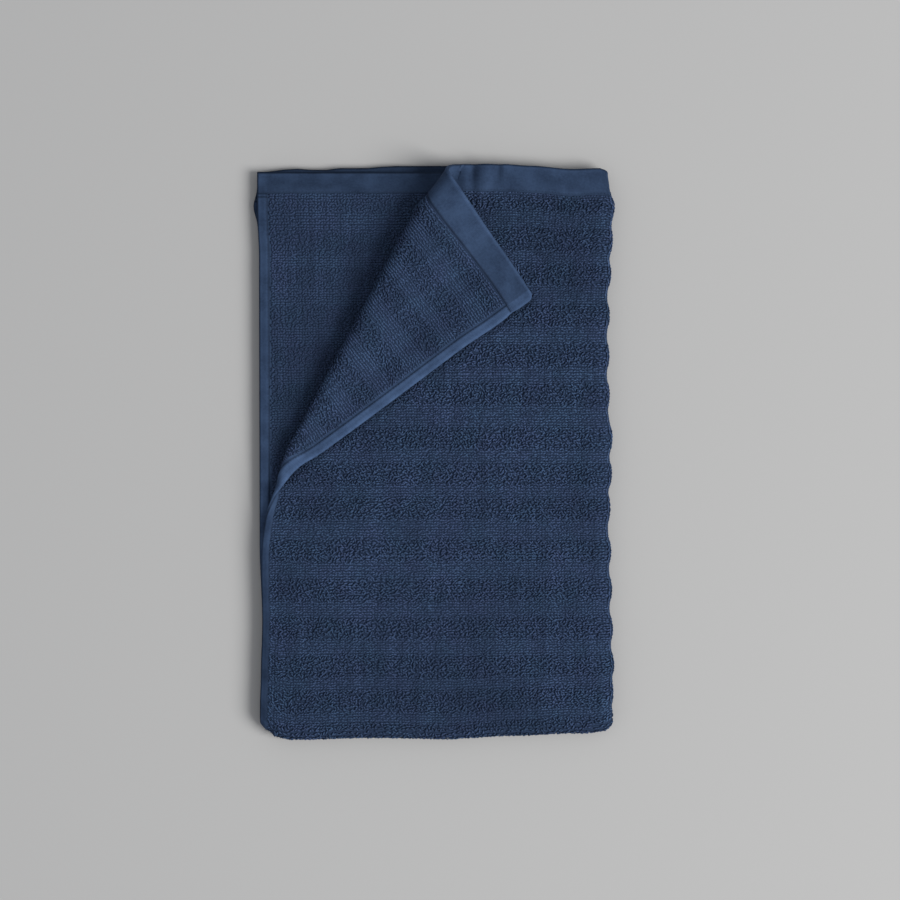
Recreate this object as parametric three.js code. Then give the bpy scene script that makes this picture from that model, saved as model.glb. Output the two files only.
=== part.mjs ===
// Bath towel of ribbed terry cotton, folded lengthwise and then crosswise, with the
// upper left corner of the top layer turned over. Millimetres, +Z up, towel on Z = 0.

import * as THREE from "three";

// Cloth, laid out flat: u runs across the width, v along the length.
const CREST_THICK = 4.6;
const VALLEY_THICK = 2.9;
const SIDE_HEM_THICK = 3.0;
const END_HEM_THICK = 2.6;
const SIDE_HEM_WIDTH = 10;
const END_HEM_WIDTH = 27;
const HEM_STEP = 2.5;

// Raised ribs across the width, counted from each end hem towards the middle.
const FIRST_RIB = 36;
const RIB_PITCH = 39;
const RIB_SHIFT = [0, 0, -4, -1, 0, 0, 5, 2, -3, 0, 0, 0, 0, -5, -11];
const CREST_HALF = 8;
const VALLEY_START = 13.5;
const RIB_BULGE = 1.4;
const RIB_BULGE_START = 150;

// Pile pressed down where both folds meet, fading out over the distances.
const CORNER_SQUEEZE = 0.9;
const SQUEEZE_FULL = 8;
const SQUEEZE_ACROSS = 26;
const SQUEEZE_ALONG = 34;

// Stack of four layers: distance from one layer's middle to the next one's.
const LAYER_PITCH = 5.0;
const PITCH_AT_SIDE = 4.0;
const PITCH_AT_END = 3.8;

// Gentle rise and fall of the top layer, in cosines along and across.
const WAVE_HEIGHT = 1.2;
const WAVE_ALONG = { length: 83, phase: 0.4 };
const WAVE_ACROSS = { length: 61, phase: 1.3 };
const WAVE_MARGIN = 60;

// Plan of the folded towel.
const LEFT_EDGE = -175.5;
const FOLD_X = 171;
const TOP_EDGE = 288.5;
const FOLD_Y = -278;

// Turned corner: the curl's outer line runs from the top edge down to the left side,
// and draws in from it at both ends.
const CURL_TOP = new THREE.Vector2(6.6, 288);
const CURL_TIP = new THREE.Vector2(-172, -46);
const TOP_INSET = { depth: 7.9, fade: 63 };
const TIP_INSET = { depth: 9.9, rise: 54 };
const CURL_RADIUS = 12;
const TIP_RADIUS = 2.8;
const CORNER_ALONG = 60;
const LARGEST_SHARE = 1.1;
const CORNER_TAKE_UP = 16.4;
const CORNER_SLIDE = 12.6;
const SLIDE_REACH = 130;
const FLAP_REST = 5.2;
const FLAP_SLOPE = 4.0;

// The turned corner draws the top layer's left side inwards below the curl, and itself
// less towards its own corner.
const LAYER_PULL = 12;
const CORNER_PULL = 2.6;
const PULL_RISE = 80;
const PULL_FADE = 33;
const PULL_START = 55;
const PULL_END = 235;

// Small ripple of the top end hem beside the curl.
const RIPPLE_HEIGHT = 3.2;
const RIPPLE_LENGTH = 27;
const RIPPLE_START = 37.5;
const RIPPLE_COUNT = 1;
const RIPPLE_SLANT = 0.3;
const RIPPLE_FULL = 10;
const RIPPLE_REACH = 70;

// Mesh of the cloth: rows along it, and columns across it from the hem to the fold.
const TIP_ROWS = { before: 44, after: 4, cells: 12, beyond: [12, 22] };
const TIP_REACH = 45;
const CURL_ROWS_END = 24;
const HEM_CELLS = 4;
const FLAP_CELLS = 4;
const CURL_CELLS = 6;
const PLAIN_CELLS = 3;
const RIPPLE_CELLS = 9;
const BEND_CELLS = { across: 5, along: 6 };
const FOLD_COLUMN = 14;
const MIDDLE_COLUMN = 190;
const SIDE_COLUMN = 45;
const SIDE_COLUMNS = [18, 29];
const SIDE_COLUMNS_REACH = 60;
const HEM_GAP = 3;
const LEAST_FLAP = 0.3;
const LEAST_TURN = 7;
const LEAST_GAP = { upper: 1.2, lower: 1.5 };
const HALVINGS = 40;
const NORMAL_STEP = 0.5;

// Colour and finish of the cloth.
const TERRY_COLOUR = 0x2c3c58;
const TERRY_ROUGHNESS = 0.95;

const straightU = FOLD_X - LEFT_EDGE;
const arcU = (Math.PI * LAYER_PITCH) / 2;
const clothWidth = 2 * straightU + arcU;
const straightV = TOP_EDGE - FOLD_Y;
const arcV = Math.PI * LAYER_PITCH;
const clothLength = 2 * straightV + arcV;
const pileSink = (LAYER_PITCH - CREST_THICK) / 2;
const tipRow = TOP_EDGE - CURL_TIP.y;
const rippleEnd = RIPPLE_START + RIPPLE_COUNT * RIPPLE_LENGTH - LEFT_EDGE;

// Uneven outline. Each row is a place along an edge and the shift of the cloth there.
const rightShift = [
  { at: 0, shift: -0.5 },
  { at: 20, shift: 0.5 },
  { at: 42, shift: 3.6 },
  { at: 85, shift: 0.8 },
  { at: 140, shift: -1.8 },
  { at: 195, shift: -0.8 },
  { at: 265, shift: 1.2 },
  { at: 345, shift: -0.2 },
  { at: 430, shift: 0.4 },
  { at: 500, shift: 3.2 },
  { at: 548, shift: 2.4 },
  { at: 572, shift: -2.2 },
];
const leftShift = [
  { at: 0, shift: -2.6 },
  { at: 45, shift: -2.4 },
  { at: 90, shift: -0.6 },
  { at: 380, shift: 0 },
  { at: 460, shift: 2.6 },
  { at: 520, shift: 1.4 },
  { at: 560, shift: 0.5 },
];
const bottomShift = [
  { at: -175, shift: 11 },
  { at: -168, shift: 5 },
  { at: -158, shift: 0.5 },
  { at: -146, shift: -1.5 },
  { at: -60, shift: 0.4 },
  { at: 10, shift: -0.8 },
  { at: 80, shift: 2.6 },
  { at: 140, shift: 5 },
  { at: 150, shift: 5 },
  { at: 180, shift: 8.5 },
];
const topLayerEnd = [
  { at: 20, shift: 0 },
  { at: 70, shift: 0 },
  { at: 95, shift: -1.5 },
  { at: 140, shift: -5 },
  { at: 165, shift: -4 },
  { at: 176, shift: -7 },
];
const thirdLayerEnd = [
  { at: -170, shift: -7 },
  { at: -120, shift: -5 },
  { at: -70, shift: -3.5 },
  { at: -42, shift: -1.2 },
  { at: 12, shift: -1 },
  { at: 60, shift: -5 },
  { at: 176, shift: -7 },
];
const HIDDEN_END_SHIFT = -8;
const LOWER_BULGE = { at: 42, reach: 16, shift: -2.4 };
const END_SHIFT_FADE = 160;
const BOTTOM_SHIFT_FADE = 110;
const SIDE_SHIFT_START = 60;
const SIDE_SHIFT_FULL = 165;

function clamp01(value) {
  return Math.min(1, Math.max(0, value));
}

function smooth(from, to, value) {
  const t = clamp01((value - from) / (to - from));
  return t * t * (3 - 2 * t);
}

function mix(a, b, t) {
  return a + (b - a) * t;
}

function shiftAt(rows, at) {
  if (at <= rows[0].at) return rows[0].shift;
  for (let i = 1; i < rows.length; i += 1) {
    const before = rows[i - 1];
    const after = rows[i];
    if (at <= after.at) {
      return mix(before.shift, after.shift, smooth(before.at, after.at, at));
    }
  }
  return rows[rows.length - 1].shift;
}

// Distance from the nearer side edge and from the nearer end edge.
function sideDistance(u) {
  return Math.min(u, clothWidth - u);
}

function endDistance(v) {
  return Math.min(v, clothLength - v);
}

function ribCentre(index) {
  return FIRST_RIB + RIB_PITCH * index + RIB_SHIFT[index];
}

// 1 on a rib's crest, 0 in the valley between two ribs.
function ribLevel(v) {
  const end = endDistance(v);
  let nearest = Infinity;
  for (let i = 0; i < RIB_SHIFT.length; i += 1) {
    nearest = Math.min(nearest, Math.abs(end - ribCentre(i)));
  }
  return 1 - smooth(CREST_HALF, VALLEY_START, nearest);
}

function thickness(u, v) {
  const side = sideDistance(u);
  const end = endDistance(v);
  const terry = mix(VALLEY_THICK, CREST_THICK, ribLevel(v));
  const hem = end < END_HEM_WIDTH ? END_HEM_THICK : SIDE_HEM_THICK;
  const inField = Math.min(
    smooth(SIDE_HEM_WIDTH, SIDE_HEM_WIDTH + HEM_STEP, side),
    smooth(END_HEM_WIDTH, END_HEM_WIDTH + HEM_STEP, end),
  );
  return mix(hem, terry, inField) - cornerSqueeze(u, v);
}

function cornerSqueeze(u, v) {
  const fromWidthFold = Math.abs(u - clothWidth / 2);
  const fromLengthFold = Math.abs(v - clothLength / 2);
  const nearWidthFold = 1 - smooth(SQUEEZE_FULL, SQUEEZE_ACROSS, fromWidthFold);
  const nearLengthFold = 1 - smooth(SQUEEZE_FULL, SQUEEZE_ALONG, fromLengthFold);
  return CORNER_SQUEEZE * nearWidthFold * nearLengthFold;
}

function isTopLayer(u, v) {
  return u < straightU && v < straightV;
}

// How far the top layer's side is drawn inwards by the turned corner.
function layerPull(u, v) {
  if (!isTopLayer(u, v)) return 0;
  const below = Math.max(0, v - tipRow);
  const pull = mix(CORNER_PULL, LAYER_PULL, smooth(tipRow - PULL_RISE, tipRow, v));
  const faded = pull * Math.exp(-below / PULL_FADE);
  return faded * (1 - smooth(PULL_START, PULL_END, u));
}

function layerPitch(side, end) {
  const sideDrop = (LAYER_PITCH - PITCH_AT_SIDE) * (1 - smooth(0, SIDE_HEM_WIDTH, side));
  const endDrop = (LAYER_PITCH - PITCH_AT_END) * (1 - smooth(0, END_HEM_WIDTH, end));
  return LAYER_PITCH - Math.max(sideDrop, endDrop);
}

function wave(x, y) {
  const along = Math.cos(y / WAVE_ALONG.length + WAVE_ALONG.phase);
  const across = Math.sin(x / WAVE_ACROSS.length + WAVE_ACROSS.phase);
  return WAVE_HEIGHT * (0.5 + 0.5 * along * across);
}

function ripple(x, y) {
  const down = TOP_EDGE - y;
  const at = (x - RIPPLE_START + RIPPLE_SLANT * down) / RIPPLE_LENGTH;
  if (at <= 0 || at >= RIPPLE_COUNT) return 0;
  const rise = 0.5 - 0.5 * Math.cos(2 * Math.PI * at);
  return RIPPLE_HEIGHT * rise * (1 - smooth(RIPPLE_FULL, RIPPLE_REACH, down));
}

// Both folds: the width is folded first, then the two layers together along the length.
// "upper" is 1 on the layer outside the lengthwise fold and -1 on the one inside it.
function foldedPoint(u, v) {
  const pitch = layerPitch(sideDistance(u) + layerPull(u, v), endDistance(v));
  let x;
  let upper;
  if (u <= straightU) {
    x = LEFT_EDGE + u;
    upper = 1;
  } else if (u < straightU + arcU) {
    const turn = (Math.PI * (u - straightU)) / arcU;
    x = FOLD_X + (pitch / 2) * Math.sin(turn);
    upper = Math.cos(turn);
  } else {
    x = LEFT_EDGE + clothWidth - u;
    upper = -1;
  }
  const reach = pitch + (upper * pitch) / 2;
  const middle = 2 * pitch - pileSink;
  let y;
  let z;
  if (v <= straightV) {
    y = TOP_EDGE - v;
    z = middle + reach;
  } else if (v < straightV + arcV) {
    const turn = (Math.PI * (v - straightV)) / arcV;
    y = FOLD_Y - reach * Math.sin(turn);
    z = middle + reach * Math.cos(turn);
  } else {
    y = TOP_EDGE - (clothLength - v);
    z = middle - reach;
  }
  return { x, y, z, upper };
}

// Shift of a layer's free end in the plan.
function endShift(x, upper, v) {
  const onTop = v < clothLength / 2;
  const outer = onTop ? shiftAt(topLayerEnd, x) : HIDDEN_END_SHIFT;
  const inner = onTop ? HIDDEN_END_SHIFT : shiftAt(thirdLayerEnd, x);
  const fade = 1 - smooth(0, END_SHIFT_FADE, endDistance(v));
  return mix(inner, outer, (upper + 1) / 2) * fade;
}

// Folded towel with its uneven outline, before the corner is turned.
function laidPoint(u, v) {
  const point = foldedPoint(u, v);
  const down = TOP_EDGE - point.y;
  const towardsRight = smooth(SIDE_SHIFT_START, SIDE_SHIFT_FULL, point.x);
  const towardsLeft = smooth(SIDE_SHIFT_START, SIDE_SHIFT_FULL, -point.x);
  const fromFold = Math.max(0, straightV - endDistance(v));
  let x = point.x;
  x += shiftAt(rightShift, down) * towardsRight;
  x += shiftAt(leftShift, down) * towardsLeft;
  x += RIB_BULGE * ribLevel(v) * smooth(RIB_BULGE_START, FOLD_X, point.x);
  if (v > clothLength / 2) {
    const fromBulge = (down - LOWER_BULGE.at) / LOWER_BULGE.reach;
    x += LOWER_BULGE.shift * Math.exp(-fromBulge * fromBulge) * towardsLeft;
  }
  let y = point.y;
  y += endShift(point.x, point.upper, v);
  y += shiftAt(bottomShift, point.x) * (1 - smooth(0, BOTTOM_SHIFT_FADE, fromFold));
  let z = point.z;
  if (isTopLayer(u, v)) {
    x += layerPull(u, v);
    const fromEdges = smooth(0, WAVE_MARGIN, sideDistance(u)) * smooth(0, WAVE_MARGIN, fromFold);
    z += wave(x, y) * fromEdges;
    z += ripple(x, y);
  }
  return new THREE.Vector3(x, y, z);
}

const curlAlong = CURL_TIP.clone().sub(CURL_TOP).normalize();
const curlAcross = new THREE.Vector2(curlAlong.y, -curlAlong.x);
const curlLength = CURL_TIP.distanceTo(CURL_TOP);

// Size of the curl at a place along its line, which tapers to the side hem.
function curlAt(along) {
  const unclamped = (curlLength - along) / (curlLength - CORNER_ALONG);
  const share = Math.min(LARGEST_SHARE, Math.max(0, unclamped));
  const radius = mix(TIP_RADIUS, CURL_RADIUS, share);
  const spare = (CORNER_TAKE_UP - (Math.PI - 2) * CURL_RADIUS) * share;
  const nearTop = 1 - smooth(0, TOP_INSET.fade, along);
  const nearTip = smooth(curlLength - TIP_INSET.rise, curlLength, along);
  const inset = TOP_INSET.depth * nearTop + TIP_INSET.depth * nearTip;
  return { share, radius, inset, span: Math.PI * radius + spare };
}

// How far a point is into the half turn: 0 where it starts, 1 where it is turned over.
function curlMeasure(point) {
  const offset = new THREE.Vector2(point.x, point.y).sub(CURL_TOP);
  const along = offset.dot(curlAlong);
  const curl = curlAt(along);
  const across = offset.dot(curlAcross) + curl.inset;
  return { along, across, curl, turned: (across + curl.radius) / curl.span };
}

const restingLevel = 2 * LAYER_PITCH - pileSink + 1.5 * LAYER_PITCH;

function turnedPoint(point) {
  const { along, across, curl, turned } = curlMeasure(point);
  if (turned <= 0) return point;
  const { share, radius, inset, span } = curl;
  let newAcross;
  let height;
  if (turned < 1) {
    newAcross = -radius + radius * Math.sin(Math.PI * turned);
    height = radius * (1 - Math.cos(Math.PI * turned));
  } else {
    const past = across - (span - radius);
    const drop = 2 * radius - FLAP_REST;
    newAcross = -radius - past;
    height = FLAP_REST + drop * (1 - smooth(0, FLAP_SLOPE * drop, past));
  }
  const slide = CORNER_SLIDE * Math.min(1, share) * smooth(-radius, SLIDE_REACH, across);
  const newAlong = along - slide;
  const inwards = newAcross - inset;
  const x = CURL_TOP.x + curlAlong.x * newAlong + curlAcross.x * inwards;
  const y = CURL_TOP.y + curlAlong.y * newAlong + curlAcross.y * inwards;
  const level = mix(point.z, restingLevel + wave(x, y), smooth(0, 1, turned));
  return new THREE.Vector3(x, y, level + height);
}

function clothPoint(u, v) {
  const point = laidPoint(u, v);
  return isTopLayer(u, v) ? turnedPoint(point) : point;
}

// Direction straight out of the cloth's outer face.
function clothNormal(u, v) {
  const u0 = Math.max(0, u - NORMAL_STEP);
  const u1 = Math.min(clothWidth, u + NORMAL_STEP);
  const v0 = Math.max(0, v - NORMAL_STEP);
  const v1 = Math.min(clothLength, v + NORMAL_STEP);
  const across = clothPoint(u1, v).sub(clothPoint(u0, v));
  const along = clothPoint(u, v1).sub(clothPoint(u, v0));
  return along.cross(across).normalize();
}

// Place across the top layer where the half turn reaches the given stage.
function findTurned(v, stage) {
  let low = 0;
  let high = straightU;
  for (let i = 0; i < HALVINGS; i += 1) {
    const middle = (low + high) / 2;
    if (curlMeasure(laidPoint(middle, v)).turned > stage) low = middle;
    else high = middle;
  }
  return (low + high) / 2;
}

function divide(from, to, cells) {
  return Array.from({ length: cells + 1 }, (_, i) => mix(from, to, i / cells));
}

// Each row across the cloth is a list of stretches, and each stretch a list of places.
function rowStretches(v) {
  const inner = SIDE_HEM_WIDTH + HEM_STEP;
  const hem = [0, SIDE_HEM_WIDTH, inner];
  const fineHem = [...divide(0, SIDE_HEM_WIDTH, HEM_CELLS), inner];
  const beside = straightU - FOLD_COLUMN;
  const rightHalf = [
    [beside, straightU],
    divide(straightU, straightU + arcU, BEND_CELLS.across),
    [straightU, beside, straightU - MIDDLE_COLUMN, inner].map((u) => clothWidth - u),
    hem.map((u) => clothWidth - u).reverse(),
  ];
  if (v < tipRow + CURL_ROWS_END) {
    const turnedStart = Math.max(inner + LEAST_TURN, findTurned(v, 0));
    const turnedEnd = Math.max(mix(inner, turnedStart, LEAST_FLAP), findTurned(v, 1));
    const plain = divide(turnedStart, beside, PLAIN_CELLS);
    const rippled = [...divide(turnedStart, rippleEnd, RIPPLE_CELLS), beside];
    return [
      Math.abs(v - tipRow) < TIP_REACH ? fineHem : hem,
      divide(inner, turnedEnd, FLAP_CELLS),
      divide(turnedEnd, turnedStart, CURL_CELLS),
      v < RIPPLE_REACH ? rippled : plain,
      ...rightHalf,
    ];
  }
  const nearFold = Math.abs(v - clothLength / 2) < SIDE_COLUMNS_REACH;
  return [
    hem,
    [inner, ...(nearFold ? SIDE_COLUMNS : []), SIDE_COLUMN],
    [SIDE_COLUMN, MIDDLE_COLUMN],
    [MIDDLE_COLUMN, beside],
    ...rightHalf,
  ];
}

// Rows from an end hem to the crosswise fold, at the edges of crests and valleys.
function ribRows() {
  const hemRows = [0, END_HEM_WIDTH / 2, END_HEM_WIDTH, END_HEM_WIDTH + HEM_STEP];
  const edges = [-VALLEY_START, -CREST_HALF, CREST_HALF, VALLEY_START];
  const rows = RIB_SHIFT.flatMap((_, i) => edges.map((edge) => ribCentre(i) + edge));
  const fieldStart = END_HEM_WIDTH + HEM_STEP + HEM_GAP;
  return [...hemRows, ...rows.filter((v) => v > fieldStart && v < straightV - HEM_GAP)];
}

function sortedApart(rows, apart) {
  const sorted = [...rows].sort((a, b) => a - b);
  return sorted.filter((v, i) => i === 0 || v - sorted[i - 1] > apart);
}

function rowPlaces() {
  const tipRows = divide(tipRow - TIP_ROWS.before, tipRow + TIP_ROWS.after, TIP_ROWS.cells);
  tipRows.push(...TIP_ROWS.beyond.map((past) => tipRow + past));
  const upperRows = sortedApart([...ribRows(), ...tipRows], LEAST_GAP.upper);
  const bend = divide(straightV, straightV + arcV, BEND_CELLS.along);
  const lowerRows = sortedApart(ribRows().map((v) => clothLength - v), LEAST_GAP.lower);
  return [...upperRows, ...bend, ...lowerRows];
}

// Vertices of every row, and the rows as lists of vertices, stretch by stretch.
function patternRows() {
  const places = [];
  const rows = rowPlaces().map((v) => {
    const lines = [];
    rowStretches(v).forEach((stretch, s) => {
      const line = s === 0 ? [] : [lines[s - 1].at(-1)];
      stretch.slice(s === 0 ? 0 : 1).forEach((u) => {
        line.push(places.length);
        places.push({ u, v });
      });
      lines.push(line);
    });
    return lines;
  });
  return { places, rows };
}

// Triangles between two rows of a stretch. Level pairs are joined by the shorter diagonal.
function fillStrip(upper, lower, points, triangles) {
  let i = 0;
  let j = 0;
  while (i < upper.length - 1 || j < lower.length - 1) {
    const nextUpper = i < upper.length - 1 ? (i + 1) / (upper.length - 1) : Infinity;
    const nextLower = j < lower.length - 1 ? (j + 1) / (lower.length - 1) : Infinity;
    let takeLower = nextLower < nextUpper;
    if (nextLower === nextUpper) {
      const towardsLower = points[upper[i]].distanceTo(points[lower[j + 1]]);
      takeLower = towardsLower <= points[upper[i + 1]].distanceTo(points[lower[j]]);
    }
    if (takeLower) {
      triangles.push([upper[i], lower[j], lower[j + 1]]);
      j += 1;
    } else {
      triangles.push([upper[i], lower[j], upper[i + 1]]);
      i += 1;
    }
  }
}

function outline(rows) {
  const flat = rows.map((row) => row.flatMap((line, s) => (s === 0 ? line : line.slice(1))));
  const left = flat.map((line) => line[0]);
  const right = flat.map((line) => line.at(-1)).reverse();
  const bottom = flat.at(-1).slice(1, -1);
  const top = flat[0].slice(1, -1).reverse();
  return [...left, ...bottom, ...right, ...top];
}

// Closed body: outer face, inner face and the rim along the four hems.
function clothGeometry() {
  const { places, rows } = patternRows();
  const middles = places.map(({ u, v }) => clothPoint(u, v));
  const triangles = [];
  for (let r = 1; r < rows.length; r += 1) {
    rows[r].forEach((line, s) => fillStrip(rows[r - 1][s], line, middles, triangles));
  }
  const outer = [];
  const inner = [];
  places.forEach(({ u, v }, i) => {
    const offset = clothNormal(u, v).multiplyScalar(thickness(u, v) / 2);
    outer.push(...middles[i].clone().add(offset).toArray());
    inner.push(...middles[i].clone().sub(offset).toArray());
  });
  const under = places.length;
  const faces = triangles.flatMap(([a, b, c]) => [a, b, c, under + a, under + c, under + b]);
  const rim = outline(rows);
  rim.forEach((a, i) => {
    const b = rim[(i + 1) % rim.length];
    faces.push(b, a, under + a, b, under + a, under + b);
  });
  const geometry = new THREE.BufferGeometry();
  const points = new Float32Array([...outer, ...inner]);
  geometry.setAttribute("position", new THREE.BufferAttribute(points, 3));
  geometry.setIndex(faces);
  geometry.computeVertexNormals();
  return geometry;
}

const terry = new THREE.MeshStandardMaterial({
  color: TERRY_COLOUR,
  roughness: TERRY_ROUGHNESS,
  metalness: 0,
});
const towel = new THREE.Mesh(clothGeometry(), terry);
towel.name = "bath_towel";

const group = new THREE.Group();
group.name = "folded_bath_towel";
group.add(towel);

export default group;
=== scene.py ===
import math

import bpy
import numpy as np
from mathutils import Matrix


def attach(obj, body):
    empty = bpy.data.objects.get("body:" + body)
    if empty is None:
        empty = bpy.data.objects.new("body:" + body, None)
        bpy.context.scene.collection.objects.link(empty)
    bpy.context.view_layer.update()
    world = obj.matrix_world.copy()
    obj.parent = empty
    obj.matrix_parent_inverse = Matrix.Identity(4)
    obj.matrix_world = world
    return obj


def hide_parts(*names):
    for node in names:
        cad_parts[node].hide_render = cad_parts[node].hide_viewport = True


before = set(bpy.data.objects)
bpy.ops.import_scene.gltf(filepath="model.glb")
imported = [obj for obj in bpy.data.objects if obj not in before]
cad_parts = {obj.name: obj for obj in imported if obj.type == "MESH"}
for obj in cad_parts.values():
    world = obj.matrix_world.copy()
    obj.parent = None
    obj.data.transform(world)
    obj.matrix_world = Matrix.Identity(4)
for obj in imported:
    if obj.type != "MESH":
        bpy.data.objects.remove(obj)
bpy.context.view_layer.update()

# A navy bath towel of ribbed terry cotton, folded twice, with one corner turned over.
# Lengths are in millimetres until a mesh is made, and then in metres.
bodyName = "root"
nodeName = "bath_towel"
toMetres = 0.001
print("frame loaded")

# The cut cloth and its folds: u runs across the cloth, v along it
cloth = {
    "leftEdge": -175.5,
    "foldX": 171.0,
    "topEdge": 288.5,
    "foldY": -278.0,
    "layerPitch": 5.0,  # from one layer's middle to the next one's
    "pitchAtSide": 4.0,  # the layers lie closer at their hems
    "pitchAtEnd": 3.8,
    "crestThick": 4.6,
    "valleyThick": 2.9,
    "sideHemThick": 3.0,
    "endHemThick": 2.6,
    "sideHem": 10.0,  # width of the turned side hem
    "endHem": 27.0,  # width of the woven band at each end
    "waveHeight": 1.2,
    "waveAlong": (83.0, 0.4),  # length and phase
    "waveAcross": (61.0, 1.3),
    "waveMargin": 60.0,
    "endShiftFade": 160.0,
    "tuckedHem": (5.5, 27.0, 90.0),  # the second layer's end hem is pushed up, then eases off
    "bottomShiftFade": 110.0,
    "hiddenEndShift": -8.0,  # of the second and the lowest layer
    "bulge": (36.0, 12.0, -4.0),  # place, reach and shift on the two lower layers
    "sideShift": (60.0, 165.0),  # where the edge shifts start and are full
    "ribBulge": 2.1,
    "ribBulgeStart": 150.0,
    "cornerRound": (1.9, 3.1),  # the turned corner is blunt: depth and reach
    "seamPinch": (1.1, 5.0),  # the seam draws the side hem in: depth and reach
}

# Raised ribs across the cloth, counted from each end hem
ribs = {
    "first": 36.0,
    "pitch": 39.0,
    "shift": (0, 0, -4, -1, 0, 0, 5, 2, -3, 0, 0, 0, 0, -5, -11),
    "crestHalf": 8.0,
    "valleyStart": 13.5,
    "drift": (55.0, 1.6, 11),  # a rib wanders along its length: size, strength and seed
}

# The turned corner's curl and the small ripples of the hem beside it
curl = {
    "top": (6.6, 288.0),
    "tip": (-172.0, -46.0),
    "topInset": (7.9, 63.0),  # how far the curl draws in at its ends, and over what length
    "tipInset": (9.9, 54.0),
    "radius": 12.0,
    "tipRadius": 2.8,
    "cornerAlong": 60.0,  # where the curl has its full radius
    "largestShare": 1.1,
    "takeUp": 16.4,
    "slide": 12.6,
    "slideReach": 130.0,
    "rest": 5.2,  # height over the top layer
    "slope": 4.0,
    "leastDrop": 0.01,
    "pull": 12.0,  # the top layer's left side is drawn in below the curl
    "cornerPull": 2.6,
    "pullRise": 80.0,
    "pullFade": 33.0,
    "pullStart": 55.0,
    "pullEnd": 235.0,
    "rippleHeight": 3.2,
    "rippleLength": 27.0,
    "rippleStart": 37.5,
    "rippleCount": 1,
    "rippleSlant": 0.3,
    "rippleFull": 10.0,
    "rippleReach": 70.0,
}

# Small creases of the top layer beside the turned corner: x, half width, height and reach down
hemCreases = (
    (30.5, 5.0, 1.4, 60), (39.0, 4.2, -1.3, 60), (53.0, 5.5, 0.9, 42),
    (64.5, 2.4, -1.1, 24), (70.0, 4.0, 0.7, 34), (96.0, 6.0, -0.8, 30),
)
creaseHold = 0.3  # a crease keeps its height over this share of its reach

# Uneven outline, a row for each place: where it is along the edge, and the cloth's shift there
rightShift = (
    (0, -0.5), (20, 0.5), (42, 3.6), (85, 0.8), (140, -1.6), (195, -2), (238, -1.6), (265, 1.2),
    (305, 0.6), (345, -1), (430, 0.6), (500, 2.4), (518, 3.6), (536, 1.8), (556, 3), (572, 1.4),
)
leftShift = ((0, -2.6), (45, -2.4), (90, -0.6), (380, 0), (460, 2.6), (520, 1.4), (560, 0.5))
bottomShift = (
    (-175, 13), (-168, 7.5), (-158, 1), (-146, -1.5), (-60, 0.4),
    (10, -0.8), (80, 2.6), (140, 5), (152, 5), (166, 7), (174, 12),
)
topLayerEnd = ((20, 0), (70, 0), (95, -1.5), (140, -5), (165, -4), (176, -7))
thirdLayerEnd = (
    (-170, -7), (-138, -3.9), (-112, -5.4), (-97, -3.3), (-70, -3.3),
    (-42, -1.2), (12, -1), (60, -5), (176, -7),
)

endHem = cloth["endHem"]
straightU = cloth["foldX"] - cloth["leftEdge"]
arcU = math.pi * cloth["layerPitch"] / 2
clothWidth = 2 * straightU + arcU
straightV = cloth["topEdge"] - cloth["foldY"]
arcV = math.pi * cloth["layerPitch"]
clothLength = 2 * straightV + arcV
pileSink = (cloth["layerPitch"] - cloth["crestThick"]) / 2
tipRow = cloth["topEdge"] - curl["tip"][1]
restingLevel = 3.5 * cloth["layerPitch"] - pileSink  # the top layer's middle


def smooth(start, end, value):
    t = np.clip((value - start) / (end - start), 0, 1)
    return t * t * (3 - 2 * t)


def mix(a, b, t):
    return a + (b - a) * t


def bell(value, middle, half):
    # 1 at the middle, falling off softly on both sides
    return np.exp(-(((value - middle) / half) ** 2))


def lineAt(distance, row):
    # a soft line beside an edge: its place, half width and strength
    place, half, strength = row
    return strength * bell(distance, place, half)


def shiftAt(rows, at):
    # the shift at a place, joined smoothly from row to row
    table = np.array(rows, float)
    i = np.clip(np.searchsorted(table[:, 0], at), 1, len(table) - 1)
    t = smooth(table[i - 1, 0], table[i, 0], at)
    return mix(table[i - 1, 1], table[i, 1], t)


def softNoise(x, y, size, seed):
    # random values on a square grid, joined smoothly, from -1 to 1
    cells = 64
    aboveZero = 1000
    values = np.random.default_rng(seed).uniform(-1, 1, (cells, cells))
    gx = x / size + aboveZero
    gy = y / size + aboveZero
    ix = np.floor(gx).astype(int)
    iy = np.floor(gy).astype(int)
    tx = smooth(0, 1, gx - ix)
    ty = smooth(0, 1, gy - iy)

    def row(j):
        return mix(values[ix % cells, j % cells], values[(ix + 1) % cells, j % cells], tx)

    return mix(row(iy), row(iy + 1), ty)


def spots(u, v, row):
    # soft spots over the cloth: size, strength and seed
    size, strength, seed = row
    return strength * softNoise(u, v, size, seed)


def sideDistance(u):
    return np.minimum(u, clothWidth - u)


def endDistance(v):
    return np.minimum(v, clothLength - v)


def fromCrest(v):
    # distance to the middle of the nearest rib
    centres = ribs["first"] + ribs["pitch"] * np.arange(len(ribs["shift"])) + np.array(ribs["shift"])
    return np.abs(endDistance(v)[..., None] - centres).min(-1)


def ribLevel(u, v):
    # 1 on a rib's crest and 0 in the valley between two ribs
    drift = spots(u, v, ribs["drift"])
    return 1 - smooth(ribs["crestHalf"], ribs["valleyStart"], fromCrest(v + drift))


def ribSwell(v):
    # the ribs push the lengthwise fold out in soft peaks
    return 1 - smooth(0, ribs["pitch"] / 2, fromCrest(v))


def isTopLayer(u, v):
    return (u < straightU) & (v < straightV)


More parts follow.
